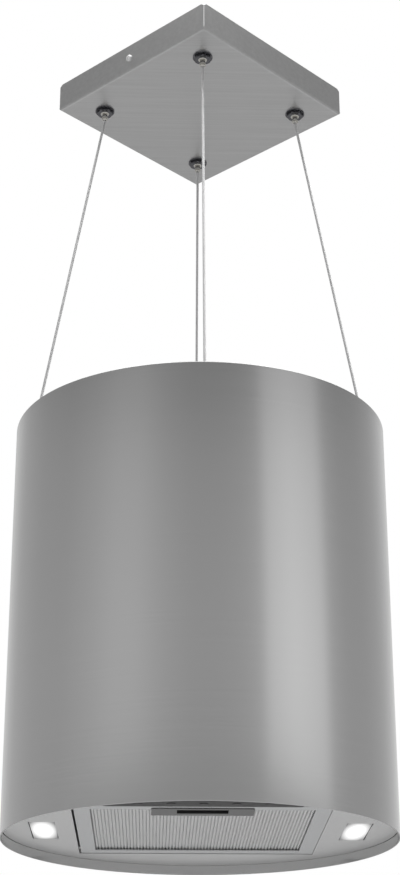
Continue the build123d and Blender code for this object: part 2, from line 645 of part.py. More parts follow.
def filter_handle():
    """The grip: a plate with a finger slot and a pocket behind it."""
    half_l, half_w = HANDLE_L / 2, HANDLE_W / 2
    plate = block(-half_l, half_l, HANDLE_Y - half_w, HANDLE_Y + half_w, PANEL_Z - 0.8, PANEL_Z)
    plate = fillet(plate.edges().filter_by(Axis.Z), 2)
    pocket = handle_cut(1.0) & block(-60, 60, -130, -60, PANEL_Z - 0.8, FILTER_TOP_Z - 0.2)
    return plate + pocket - handle_cut(0)


def filter_latch():
    """The slider: a finger tab in the slot and a tongue that rests on the opening's flange."""
    tongue = block(-16, 16, -HALF_FILTER - 7, -104, FILTER_TOP_Z + 0.2, FILTER_TOP_Z + 1.7)
    tab = block(-21, 21, -106, -104, PANEL_Z + 1.0, FILTER_TOP_Z + 1.7)
    return tongue + tab


def filter_pins():
    """Two pins on the hinge line, from the cassette's sides into the opening's flanges."""
    pins = []
    reach = 1.15
    for x0, x1 in (
        (-HALF_FILTER - GAP_LEFT - 3, -HALF_FILTER + reach),
        (HALF_FILTER - reach, HALF_FILTER + GAP_RIGHT + 3),
    ):
        pins.append(cross_rod(HINGE_PIN_R, x0, x1, FILTER_HINGE_Y, FILTER_HINGE_Z))
    return group(pins)


# ---- write every piece --------------------------------------------------------------------------
def lock_nuts(across_flats, z0, z1):
    """One nut on each gripper barrel."""
    return around(hex_nut(across_flats, 5.0, z0, z1, ROPE_TOP_R), QUARTERS.values())


def pieces():
    """Every node's name and shape."""
    named = {
        "ceiling_cover": ceiling_cover(),
        "ceiling_bracket": ceiling_bracket(),
        "cover_screws": cover_screws(),
        "gripper_barrels": gripper_barrels(),
        "gripper_washers": around(tube(11, 5.1, FLOOR_Z - 1, FLOOR_Z, ROPE_TOP_R), QUARTERS.values()),
        "gripper_nuts": lock_nuts(17, FLOOR_Z - 4, FLOOR_Z - 1),
        "gripper_locknuts": lock_nuts(15, FOOT_TOP_Z, FOOT_TOP_Z + 5),
        "rope_tails": rope_tails(),
        "shell": shell(),
        "seam_strip": seam_strip(),
        "shell_tabs": shell_tabs(),
        "support_ring": support_ring(),
        "rim_screws": rim_screws(),
        "top_cover": top_cover(),
        "top_cover_screws": top_cover_screws(),
        "rope_anchors": rope_anchors(),
        "anchor_nuts": anchor_nuts(),
        "cable_gland": cable_gland(),
        "chassis_posts": chassis_posts(),
        "blower_rails": blower_rails(),
        "rubber_mounts": rubber_mounts(),
        "blower_cradle": blower_cradle(),
        "scroll_casing": scroll_casing(),
        "outlet_duct": outlet_duct(),
        "impeller": impeller(),
        "motor_shaft": motor_shaft(),
        "motor_housing": motor_housing(),
        "motor_bearings": motor_bearings(),
        "motor_bracket": motor_bracket(),
        "carbon_filters": carbon_filters(),
        "control_box": control_box(),
        "control_box_lid": control_box_lid(),
        "control_board": control_board(),
        "capacitor": capacitor(),
        "bottom_panel": bottom_panel(),
        "panel_nuts": panel_nuts(),
        "lamp_housings": lamp_housings(),
        "lamp_lenses": lamp_lenses(),
        "led_boards": led_boards(),
        "control_fascia": control_fascia(),
        "button_board": button_board(),
        "filter_frame": filter_frame(),
        "filter_mesh": filter_mesh(),
        "filter_core": filter_core(),
        "filter_handle": filter_handle(),
        "filter_latch": filter_latch(),
        "filter_pins": filter_pins(),
    }
    for side, angle in QUARTERS.items():
        named[f"rope_{side}"] = rope(angle)
        named[f"gripper_plunger_{side}"] = gripper_plunger(angle)
    for k in range(BUTTON_COUNT):
        named[f"button_{k + 1}"] = button(k)
    return named


os.makedirs("parts", exist_ok=True)
for node, shape in pieces().items():
    export_step(shape, f"parts/{node}.step")
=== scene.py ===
# %% [markdown]
# # An island range hood, finished as a lesson
# The object is a steel drum that hangs from a square ceiling cover on four wire ropes. Its frame is
# already made and fixed. These cells add what the frame lacks: fine rolled edges, stranded rope,
# pressed mesh, and a material for every surface. The frame comes first, because most places below are
# worked out from it, in metres.

# %% Load the frame and measure it
import math

import bmesh
import bpy
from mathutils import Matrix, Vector


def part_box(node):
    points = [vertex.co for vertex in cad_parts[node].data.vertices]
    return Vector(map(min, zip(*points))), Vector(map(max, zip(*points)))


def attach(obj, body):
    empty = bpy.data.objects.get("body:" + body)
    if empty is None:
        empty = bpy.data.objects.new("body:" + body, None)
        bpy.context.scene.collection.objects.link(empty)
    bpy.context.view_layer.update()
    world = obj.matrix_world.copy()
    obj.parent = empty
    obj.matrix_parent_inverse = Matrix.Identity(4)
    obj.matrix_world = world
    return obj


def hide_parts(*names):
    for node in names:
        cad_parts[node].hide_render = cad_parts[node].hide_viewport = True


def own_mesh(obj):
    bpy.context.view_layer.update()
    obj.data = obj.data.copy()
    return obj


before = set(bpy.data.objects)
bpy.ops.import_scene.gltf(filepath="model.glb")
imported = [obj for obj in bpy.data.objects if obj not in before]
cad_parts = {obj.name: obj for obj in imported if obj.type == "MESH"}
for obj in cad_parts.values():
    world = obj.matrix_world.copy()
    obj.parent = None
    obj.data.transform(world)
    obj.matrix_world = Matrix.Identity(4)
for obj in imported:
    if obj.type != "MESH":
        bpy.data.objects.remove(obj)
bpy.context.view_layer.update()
MM = 0.001

drum_low, drum_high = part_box("shell")
drum_r = drum_high.x
rim_z, base_z = drum_high.z, drum_low.z
print("drum radius", round(drum_r, 4), "rim", round(rim_z, 4), "bottom edge", round(base_z, 4))

# %% [markdown]
# ## One helper for nodes, one for colour
# A node tree is easier to read as text when each node is one line. The helper makes a node, sets its
# properties by name, and then fills its sockets: a socket gets either a value or a link. Colours are
# written as the hex values that a paint chart or a screen shows, and shaders need linear light, so one
# function converts them.

# %% The two helpers
def add(tree, kind, inputs=None, **settings):
    """Adds a node to a tree; inputs maps a socket's name or number to a value or to another node's output."""
    made = tree.nodes.new(kind)
    for name, value in settings.items():
        setattr(made, name, value)
    for socket, value in (inputs or {}).items():
        if isinstance(value, bpy.types.NodeSocket):
            tree.links.new(value, made.inputs[socket])
        else:
            made.inputs[socket].default_value = value
    return made


def hex_colour(text):
    """Linear RGBA from an sRGB hex value."""
    channels = [int(text[k:k + 2], 16) / 255 for k in (0, 2, 4)]
    linear = [c / 12.92 if c <= 0.04045 else ((c + 0.055) / 1.055) ** 2.4 for c in channels]
    return (*linear, 1.0)


print("mid grey in linear light:", [round(c, 3) for c in hex_colour("8c8c8c")[:3]])

# %% [markdown]
# ## A start for every material
# Each material begins the same way: an empty tree with an output, a Principled shader, and the surface
# point in metres. Object coordinates are used for every pattern, because they are real sizes: a scale of
# 1000 repeats a pattern about once per millimetre, whatever the piece.

# %% Start a material
def start_material(name, **sockets):
    """A new material with a Principled shader; sockets are the shader's own values."""
    material = bpy.data.materials.new(name)
    material.use_nodes = True
    tree = material.node_tree
    tree.nodes.clear()
    shader = add(tree, "ShaderNodeBsdfPrincipled", {n.replace("_", " "): v for n, v in sockets.items()})
    add(tree, "ShaderNodeOutputMaterial", {"Surface": shader.outputs["BSDF"]})
    place = add(tree, "ShaderNodeTexCoord").outputs["Object"]
    return material, tree, shader, place


def grain(tree, place, scale, detail=3.0, roughness=0.6, turn=0.0):
    """Noise at a scale per metre along each axis, turned about Z first: long one way, it is brushed."""
    turned = add(tree, "ShaderNodeMapping", {"Vector": place, "Rotation": (0, 0, turn)})
    stretched = add(tree, "ShaderNodeMapping", {"Vector": turned.outputs[0], "Scale": scale})
    inputs = {"Vector": stretched.outputs[0], "Scale": 1.0, "Detail": detail, "Roughness": roughness}
    return add(tree, "ShaderNodeTexNoise", inputs).outputs["Fac"]


def spread(tree, value, low, high, from_low=0.3, from_high=0.7):
    """Maps a noise value onto a useful range."""
    inputs = {"Value": value, "From Min": from_low, "From Max": from_high, "To Min": low, "To Max": high}
    return add(tree, "ShaderNodeMapRange", inputs).outputs["Result"]


def tint(tree, value, dark, light):
    """A colour between two hex values."""
    ramp = add(tree, "ShaderNodeValToRGB", {"Fac": value})
    ramp.color_ramp.elements[0].color = hex_colour(dark)
    ramp.color_ramp.elements[0].position = 0.3
    ramp.color_ramp.elements[1].color = hex_colour(light)
    ramp.color_ramp.elements[1].position = 0.7
    return ramp.outputs["Color"]


def bump(tree, height, depth):
    """A bump of the given depth in metres."""
    inputs = {"Height": height, "Distance": depth, "Strength": 1.0}
    return add(tree, "ShaderNodeBump", inputs).outputs["Normal"]


# %% [markdown]
# ## Satin brushed stainless steel
# The drum is rolled from sheet that was brushed with a 240 grit belt and given a thin satin finish. The
# belt leaves scratches a tenth of a millimetre wide and some centimetres long, and they run round the
# drum. They blur a reflection along the drum's height and keep it crisp across, so that each lamp in the
# room becomes an upright band. Real scratches are too fine to see from across a kitchen, so there are
# two grains here: one at the true size for close views, and one about ten times coarser, which stands
# for the way scratches bunch together.

# %% Make the drum's steel, and a flat sheet's
def brushed_steel(name, dark, light, rough, fine, coarse, turn=0.0, depth=0.0000015):
    """Steel with a fine and a coarse grain, each given as scales per metre along X, Y and Z."""
    material, tree, shader, place = start_material(name, Metallic=1.0, Roughness=rough)
    fine_grain = grain(tree, place, fine, detail=2.0, turn=turn)
    coarse_grain = grain(tree, place, coarse, detail=4.0, turn=turn)
    both = add(tree, "ShaderNodeMath", {0: fine_grain, 1: coarse_grain}, operation="ADD").outputs[0]
    half = add(tree, "ShaderNodeMath", {0: both, 1: 0.5}, operation="MULTIPLY").outputs[0]
    tree.links.new(tint(tree, half, dark, light), shader.inputs["Base Color"])
    tree.links.new(spread(tree, half, rough - 0.02, rough + 0.03), shader.inputs["Roughness"])
    tree.links.new(bump(tree, fine_grain, depth), shader.inputs["Normal"])
    return material


drum_steel = brushed_steel(
    "satin brushed stainless steel, rolled", "cbcbcb", "cecece", 0.19, (14, 14, 5200), (4, 4, 420)
)
cover_steel = brushed_steel(
    "satin brushed stainless steel, folded", "bebebe", "d0d0d0", 0.30, (12, 5200, 5200), (7, 260, 260),
    depth=0.000004
)
panel_steel = brushed_steel(
    "satin brushed stainless steel, flat panel", "dbdbdb", "e1e1e1", 0.32, (14, 5200, 5200), (5, 320, 320)
)
handle_steel = brushed_steel(
    "fine brushed stainless steel, blanked", "656565", "707070", 0.34, (20, 5200, 5200), (8, 420, 420)
)
print("steels:", [m.name for m in bpy.data.materials if "steel" in m.name])


# %% [markdown]
# ## The other metals
# Zinc plate over pressed sheet has a faint spangle: pale patches some millimetres wide that catch the
# light unevenly. Nickel plate is smooth and mirrors what is near it. Cast and drawn aluminium are softer
# and whiter. One function per finish keeps what is the same in one place.

# %% Make the plated, cast and drawn metals
def zinc_plate(name, dark, light):
    """Zinc-plated sheet: a faint cellular spangle about 4 mm across."""
    material, tree, shader, place = start_material(name, Metallic=1.0, Roughness=0.42)
    inputs = {"Vector": place, "Scale": 250.0, "Randomness": 1.0}
    cells = add(tree, "ShaderNodeTexVoronoi", inputs, feature="F1").outputs["Color"]
    value = add(tree, "ShaderNodeSeparateColor", {"Color": cells}).outputs[0]
    tree.links.new(tint(tree, value, dark, light), shader.inputs["Base Color"])
    tree.links.new(spread(tree, value, 0.40, 0.45, 0.0, 1.0), shader.inputs["Roughness"])
    return material


def plated(name, dark, light, rough):
    """Bright plating with faint handling marks."""
    material, tree, shader, place = start_material(name, Metallic=1.0, Roughness=rough)
    marks = grain(tree, place, (420, 420, 420), detail=5.0)
    tree.links.new(tint(tree, marks, dark, light), shader.inputs["Base Color"])
    tree.links.new(spread(tree, marks, rough * 0.7, rough * 1.6), shader.inputs["Roughness"])
    return material


def cast_alloy(name, dark, light, rough, size_mm):
    """Cast or drawn aluminium, with a soft bump of the given grain size."""
    material, tree, shader, place = start_material(name, Metallic=1.0, Roughness=rough)
    skin = grain(tree, place, [1 / (size_mm * MM)] * 3, detail=3.0)
    tree.links.new(tint(tree, skin, dark, light), shader.inputs["Base Color"])
    tree.links.new(bump(tree, skin, 0.00005), shader.inputs["Normal"])
    return material


sheet_zinc = zinc_plate("zinc-plated steel, pressed", "a6a8aa", "aeb0b2")
inner_zinc = zinc_plate("zinc-plated steel, folded", "989a9c", "a1a3a5")
screw_steel = plated("nickel-plated steel, cold headed", "ececec", "f8f8f8", 0.34)
bright_nickel = plated("nickel-plated brass, turned", "c4c2bd", "dad8d2", 0.14)
# Painted reflection: the gripper nuts and washers are bright plated, and their dark colour paints in the dark
# surroundings that the plating reflects.
nickel_darkened_as_reflection = plated("nickel-plated brass, darkened as painted reflection", "5a5a5d", "78787c", 0.20)
ground_steel = plated("carbon steel, ground", "a8a8a8", "c0c0c0", 0.18)
rope_steel = plated("stainless steel wire, drawn and laid", "e2e2e2", "f6f6f6", 0.46)
cast_motor = cast_alloy("aluminium, die cast", "8d9092", "a3a6a8", 0.45, 0.8)
drawn_can = cast_alloy("aluminium, drawn", "b9bbbd", "cccecf", 0.30, 2.0)
frame_alloy = cast_alloy("aluminium, extruded and anodised", "cdcecf", "d8d9da", 0.36, 1.2)
mesh_alloy = cast_alloy("aluminium foil, expanded and pressed", "fafafa", "ffffff", 0.30, 0.9)
core_alloy = cast_alloy("aluminium wool, layered", "e0e0e1", "f2f2f3", 0.50, 0.7)
print("metals so far:", len(bpy.data.materials))


# %% [markdown]
# ## Plastics, rubber, laminate and light
# Moulded ABS has a fine spark-eroded texture, black acrylic has a silk finish, EPDM rubber is dull, and
# glass epoxy laminate shows its weave under a green mask. The black of the lamps' housings, with a silk
# finish, is painted shade, so that the thin gaps round the lenses read dark. The lamps' lenses are frosted
# polycarbonate over diodes: from below they are bright in the middle and fade to their edges.

# %% Make the non-metals
def moulded(name, dark, light, rough, size_mm, depth=0.00002):
    """A moulded plastic or rubber with a fine eroded texture."""
    material, tree, shader, place = start_material(name, Roughness=rough, IOR=1.5)
    skin = grain(tree, place, [1 / (size_mm * MM)] * 3, detail=2.0)
    tree.links.new(tint(tree, skin, dark, light), shader.inputs["Base Color"])
    tree.links.new(spread(tree, skin, rough - 0.05, rough + 0.06), shader.inputs["Roughness"])
    tree.links.new(bump(tree, skin, depth), shader.inputs["Normal"])
    return material


def laminate(name, dark, light):
    """Printed circuit laminate: a woven cloth, 0.5 mm a thread, under a translucent mask."""
    material, tree, shader, place = start_material(name, Roughness=0.38, IOR=1.55)
    weave = add(tree, "ShaderNodeTexChecker", {"Vector": place, "Scale": 1 / (0.5 * MM)}).outputs["Fac"]
    cloud = grain(tree, place, (300, 300, 300))
    value = add(tree, "ShaderNodeMath", {0: weave, 1: 0.25, 2: cloud}, operation="MULTIPLY_ADD").outputs[0]
    tree.links.new(tint(tree, value, dark, light), shader.inputs["Base Color"])
    return material


def lamp_glow(name):
    """Frosted polycarbonate, lit from behind by a row of diodes."""
    sockets = {"Roughness": 0.45, "IOR": 1.58, "Emission_Strength": 0.94}
    material, tree, shader, place = start_material(name, **sockets)
    frost = grain(tree, place, (900, 900, 900))
    tree.links.new(tint(tree, frost, "8a8a88", "929290"), shader.inputs["Base Color"])
    point = add(tree, "ShaderNodeSeparateXYZ", {0: place}).outputs
    side = add(tree, "ShaderNodeMath", {0: point["X"]}, operation="ABSOLUTE").outputs[0]
    across = add(tree, "ShaderNodeMath", {0: side, 1: lamp_middle}, operation="SUBTRACT").outputs[0]
    across = add(tree, "ShaderNodeMath", {0: across, 1: 1 / lamp_half_x}, operation="MULTIPLY").outputs[0]
    along = add(tree, "ShaderNodeMath", {0: point["Y"], 1: 1 / lamp_half_y}, operation="MULTIPLY").outputs[0]
    flat = add(tree, "ShaderNodeCombineXYZ", {"X": across, "Y": along}).outputs[0]
    reach = add(tree, "ShaderNodeVectorMath", {0: flat}, operation="LENGTH").outputs["Value"]
    fall = add(tree, "ShaderNodeMapRange", {"Value": reach, "From Min": 0.2, "From Max": 1.7,
                                            "To Min": 1.0, "To Max": 0.0}).outputs["Result"]
    tree.links.new(tint(tree, fall, "606062", "ffffff"), shader.inputs["Emission Color"])
    return material


lens_low, lens_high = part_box("lamp_lenses")
LENS_WIDTH = 24 * MM
lamp_half_x, lamp_half_y = LENS_WIDTH / 2, (lens_high.y - lens_low.y) / 2
lamp_middle = lens_high.x - lamp_half_x

moulded_black = moulded("ABS, moulded and spark eroded", "1f1f20", "2a2a2b", 0.48, 0.4)
fan_plastic = moulded("glass-filled polypropylene, moulded", "1c1c1e", "29292b", 0.42, 1.0)
charcoal_case = moulded("polypropylene, moulded", "101011", "1b1b1c", 0.55, 0.6)
bush_rubber = moulded("EPDM rubber, moulded", "0e0e0e", "171717", 0.70, 0.5)
fascia_acrylic = moulded("black acrylic, silk finish", "131314", "19191a", 0.42, 8.0, depth=0.0)
fascia_acrylic.node_tree.nodes["Principled BSDF"].inputs["Specular IOR Level"].default_value = 0.35
# Painted shade: the lamp housings show only through the thin gaps round the lenses, and their near-black
# colour is shade painted into those gaps; the housings themselves are pressed aluminium.
painted_gap_shade_black = moulded("pressed aluminium painted black as shade in the lamp gaps", "060606", "0b0b0b", 0.50, 0.8,
                       depth=0.000005)
green_board = laminate("glass epoxy laminate, green mask", "0c3a1c", "175c30")
white_board = laminate("glass epoxy laminate, white mask", "dcdcd8", "f0f0ee")
lit_lens = lamp_glow("polycarbonate, frosted and lit")
print("materials in all:", len(bpy.data.materials))

# %% [markdown]
# ## Dress the frame
# A node of the frame whose shape is right stays as it is and only gets its finish. The table says which
# finish goes on which nodes. What later cells replace is dressed too, so nothing is ever left bare.

# %% Put a finish on each node
FINISHES = {
    cover_steel: ["ceiling_cover"],
    drum_steel: ["shell", "seam_strip", "shell_tabs"],
    sheet_zinc: ["top_cover", "ceiling_bracket", "support_ring", "scroll_casing", "outlet_duct"],
    inner_zinc: ["chassis_posts", "blower_rails", "blower_cradle", "motor_bracket", "control_box",
                 "control_box_lid"],
    screw_steel: ["cover_screws", "top_cover_screws", "rim_screws", "panel_nuts", "gripper_locknuts"],
    bright_nickel: ["gripper_barrels", "rope_anchors", "anchor_nuts", "gripper_plunger_left",
                    "gripper_plunger_right", "gripper_plunger_front", "gripper_plunger_rear"],
    # painted dark reflection on the gripper nuts and washers
    nickel_darkened_as_reflection: ["gripper_nuts", "gripper_washers"],
    rope_steel: ["rope_left", "rope_right", "rope_front", "rope_rear", "rope_tails"],
    ground_steel: ["motor_shaft", "motor_bearings", "filter_pins"],
    cast_motor: ["motor_housing"],
    drawn_can: ["capacitor"],
    # painted shade for the gaps round the lamp lenses
    painted_gap_shade_black: ["lamp_housings"],
    frame_alloy: ["filter_frame"],
    mesh_alloy: ["filter_mesh"],
    core_alloy: ["filter_core"],
    handle_steel: ["filter_handle"],
    panel_steel: ["bottom_panel"],
    moulded_black: ["cable_gland", "filter_latch"],
    fan_plastic: ["impeller"],
    charcoal_case: ["carbon_filters"],
    bush_rubber: ["rubber_mounts"],
    fascia_acrylic: ["control_fascia"] + [f"button_{k}" for k in range(1, 6)],
    green_board: ["control_board", "button_board"],
    white_board: ["led_boards"],
    lit_lens: ["lamp_lenses"],
}
for finish, nodes in FINISHES.items():
    for name in nodes:
        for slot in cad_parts[name].material_slots:
            slot.material = finish
bare = set(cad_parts) - {n for nodes in FINISHES.values() for n in nodes}
print("dressed", sum(len(nodes) for nodes in FINISHES.values()), "nodes; still bare:", sorted(bare))


# %% [markdown]
# ## The drum
# The drum could be a cylinder with a thick wall, but what sells rolled sheet is its edges: the rim is
# folded inwards over a small radius, the bottom edge is only eased, and the two ends of the sheet meet in
# a hairline at the back. So the wall's section is drawn once and carried round the axis. The angles are
# evenly spaced, with a few more at the back, where the section dips to make the seam.

# %% Draw the section and carry it round
def carry_round(name, section, turns, dip):
    """A closed ring whose wall has the given section, a loop of (radius, height) points."""
    mesh = bmesh.new()
    rings = []
    for angle in turns:
        ring = []
        for r, z in section:
            reach = r - dip(angle, r)
            ring.append(mesh.verts.new((reach * math.sin(angle), -reach * math.cos(angle), z)))
        rings.append(ring)
    for k, ring in enumerate(rings):
        following = rings[(k + 1) % len(rings)]
        for j in range(len(section)):
            i = (j + 1) % len(section)
            mesh.faces.new((ring[j], following[j], following[i], ring[i]))
    bmesh.ops.recalc_face_normals(mesh, faces=mesh.faces)
    return finish_mesh(name, mesh)


def finish_mesh(name, mesh, sharp_deg=32):
    """Turns a bmesh into an object at the origin, smooth but for its real edges."""
    data = bpy.data.meshes.new(name)
    mesh.to_mesh(data)
    mesh.free()
    data.shade_smooth()
    data.set_sharp_from_angle(angle=math.radians(sharp_deg))
    made = bpy.data.objects.new(name, data)
    bpy.context.scene.collection.objects.link(made)
    return made


def quarter_bend(r, z, radius, start_deg, steps=6):
    """Points of a quarter circle about (r, z)."""
    angles = [math.radians(start_deg + 90 * k / steps) for k in range(steps + 1)]
    return [(r + radius * math.cos(a), z + radius * math.sin(a)) for a in angles]


sheet_t, hem_w, bend_r, ease_r = 1.0 * MM, 5.0 * MM, 0.95 * MM, 0.35 * MM
drum_section = [
    *quarter_bend(drum_r - ease_r, base_z + ease_r, ease_r, -90, 3),
    *quarter_bend(drum_r - bend_r, rim_z - bend_r, bend_r, 0),
    (drum_r - hem_w, rim_z),
    (drum_r - hem_w, rim_z - sheet_t),
    (drum_r - sheet_t, rim_z - sheet_t),
    (drum_r - sheet_t, base_z),
]
seam_half = math.asin(0.22 * MM / drum_r)
turns = sorted([math.tau * k / 384 for k in range(384) if k != 192]
               + [math.pi + seam_half * s for s in (-1.6, -1, -0.6, 0.6, 1, 1.6)])


def seam_dip(angle, r):
    """How far the outer face sinks at the seam."""
    inside = abs(angle - math.pi) < seam_half * 0.8 and r > drum_r - 0.6 * MM
    return 0.55 * MM if inside else 0.0


drum = carry_round("drum", drum_section, turns, seam_dip)
drum.data.materials.append(drum_steel)
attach(drum, "hood")
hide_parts("shell")
print("drum:", len(drum.data.polygons), "faces, from", len(drum_section), "points of section")

# %% [markdown]
# ## Wire rope, made by Geometry Nodes
# A 3 mm rope is six strands laid round a core, with a turn about every 20 mm. Following each strand by
# hand would take thousands of points. Geometry Nodes do it from one straight line: the line is given a
# tilt that grows along its length, and a profile of six small circles, set on a ring, is swept along it.
# The tilt turns the profile as it goes, which is just what a rope-laying machine does. Each strand has
# only eight sides, because a long run is swept in hundreds of steps.

# %% Build the rope's tree
def input_socket(tree, name, kind, value):
    """A named input on a tree, with its default."""
    socket = tree.interface.new_socket(name, in_out="INPUT", socket_type=kind)
    if value is not None:
        socket.default_value = value
    return socket.identifier


def rope_tree():
    """Sweeps a ring of small circles along a curve, turning it as it goes."""
    tree = bpy.data.node_groups.new("laid wire rope", "GeometryNodeTree")
    sockets = {
        "line": input_socket(tree, "Geometry", "NodeSocketGeometry", None),
        "rope radius": input_socket(tree, "Rope radius", "NodeSocketFloat", 1.5 * MM),
        "lay": input_socket(tree, "Lay length", "NodeSocketFloat", 20.0 * MM),
        "strands": input_socket(tree, "Strands", "NodeSocketInt", 6),
        "step": input_socket(tree, "Step", "NodeSocketFloat", 1.2 * MM),
        "finish": input_socket(tree, "Finish", "NodeSocketMaterial", None),
    }
    tree.interface.new_socket("Geometry", in_out="OUTPUT", socket_type="NodeSocketGeometry")
    given = add(tree, "NodeGroupInput").outputs
    fine = add(tree, "GeometryNodeResampleCurve", {"Curve": given["Geometry"], "Length": given["Step"]},
               mode="LENGTH")
    along = add(tree, "GeometryNodeSplineParameter").outputs["Length"]
    turns = add(tree, "ShaderNodeMath", {0: along, 1: given["Lay length"]}, operation="DIVIDE").outputs[0]
    angle = add(tree, "ShaderNodeMath", {0: turns, 1: math.tau}, operation="MULTIPLY").outputs[0]
    tilted = add(tree, "GeometryNodeSetCurveTilt", {"Curve": fine.outputs[0], "Tilt": angle})
    third = add(tree, "ShaderNodeMath", {0: given["Rope radius"], 1: 1 / 3}, operation="MULTIPLY").outputs[0]
    ring_r = add(tree, "ShaderNodeMath", {0: given["Rope radius"], 1: third}, operation="SUBTRACT").outputs[0]
    ring = add(tree, "GeometryNodeMeshCircle", {"Vertices": given["Strands"], "Radius": ring_r})
    strand = add(tree, "GeometryNodeCurvePrimitiveCircle", {"Resolution": 8, "Radius": third})
    placed = add(tree, "GeometryNodeInstanceOnPoints",
                 {"Points": ring.outputs["Mesh"], "Instance": strand.outputs["Curve"]})
    profile = add(tree, "GeometryNodeRealizeInstances", {0: placed.outputs[0]})
    swept = add(tree, "GeometryNodeCurveToMesh",
                {"Curve": tilted.outputs[0], "Profile Curve": profile.outputs[0], "Fill Caps": True})
    real = add(tree, "GeometryNodeRealizeInstances", {0: swept.outputs[0]})
    dressed = add(tree, "GeometryNodeSetMaterial", {"Geometry": real.outputs[0], "Material": given["Finish"]})
    add(tree, "NodeGroupOutput", {0: dressed.outputs[0]})
    return tree, sockets


def grow(source, name, tree, sockets, **values):
    """Runs a tree on an object and returns its result as a plain mesh object; the source is removed."""
    modifier = source.modifiers.new("grow", "NODES")
    modifier.node_group = tree
    for key, value in values.items():
        modifier[sockets[key.replace("_", " ")]] = value
    bpy.context.view_layer.update()
    evaluated = source.evaluated_get(bpy.context.evaluated_depsgraph_get())
    data = bpy.data.meshes.new_from_object(evaluated)
    data.name = name
    data.shade_smooth()
    data.set_sharp_from_angle(angle=math.radians(40))
    made = bpy.data.objects.new(name, data)
    bpy.context.scene.collection.objects.link(made)
    bpy.data.objects.remove(source)
    return made


def straight_line(name, start, end):
    """A curve object of one straight run."""
    data = bpy.data.curves.new(name, "CURVE")
    data.dimensions = "3D"
    spline = data.splines.new("POLY")
    spline.points.add(1)
    spline.points[0].co = (*start, 1)
    spline.points[1].co = (*end, 1)
    made = bpy.data.objects.new(name, data)
    bpy.context.scene.collection.objects.link(made)
    return made


laying, laying_sockets = rope_tree()
print("rope tree:", len(laying.nodes), "nodes, inputs", sorted(laying_sockets))

# %% [markdown]
# ## Hang the ropes
# Each rope has three stretches. It stands upright in its gripper, slants down as a taut run, and stands
# upright again in its anchor. When the drum is raised the spare rope goes up through the gripper, so only
# the taut run gets shorter: here it gets a mesh of its own, while the other two keep to their own bodies.
# The places come from the frame's ropes, plungers and anchors.

# %% Make the twelve stretches of rope
SIDES = {"right": (1, 0), "rear": (0, 1), "left": (-1, 0), "front": (0, -1)}
rope_low, rope_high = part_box("rope_right")
anchor_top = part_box("rope_anchors")[1].z
plunger_low, plunger_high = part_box("gripper_plunger_right")
top_r = (plunger_low.x + plunger_high.x) / 2
rope_r = (rope_high.y - rope_low.y) / 2
low_r = rope_high.x - rope_r
bend_top, bend_low = plunger_low.z - 1.0 * MM, anchor_top + 2.5 * MM
for side, (x, y) in SIDES.items():
    gripped = straight_line("gripped", (top_r * x, top_r * y, rope_high.z), (top_r * x, top_r * y, bend_top))
    slanted = straight_line("slanted", (top_r * x, top_r * y, bend_top), (low_r * x, low_r * y, bend_low))
    anchored = straight_line("anchored", (low_r * x, low_r * y, bend_low), (low_r * x, low_r * y, rope_low.z))
    stretches = []
    for line, part in ((gripped, "top"), (slanted, "run"), (anchored, "foot")):
        piece = grow(line, f"wire_rope_{side}_{part}", laying, laying_sockets, rope_radius=rope_r,
                     finish=rope_steel)
        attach(piece, "hood" if part == "foot" else "ceiling")
        stretches.append(piece)
    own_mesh(stretches[1])
    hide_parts(f"rope_{side}")

# %% [markdown]
# ## The grease filter's outer sheet
# The cassette's face is thin aluminium, slit and pulled open into a net, then pressed into ribs that run
# from front to back, about one every 3.3 mm. It is both a wave and a net, so it is made in two steps of one
# tree. A flat grid is lifted into a wave by Set Position, which gives the ribs; then the valleys lose
# three faces in four, staggered from rib to rib like bricks, which gives the slits; then the sheet is
# given its thickness. The crests that face outwards stay whole, because the press closes the slits
# there. A rib is six cells wide, and a whole number of ribs fills the frame, so all ribs are alike.

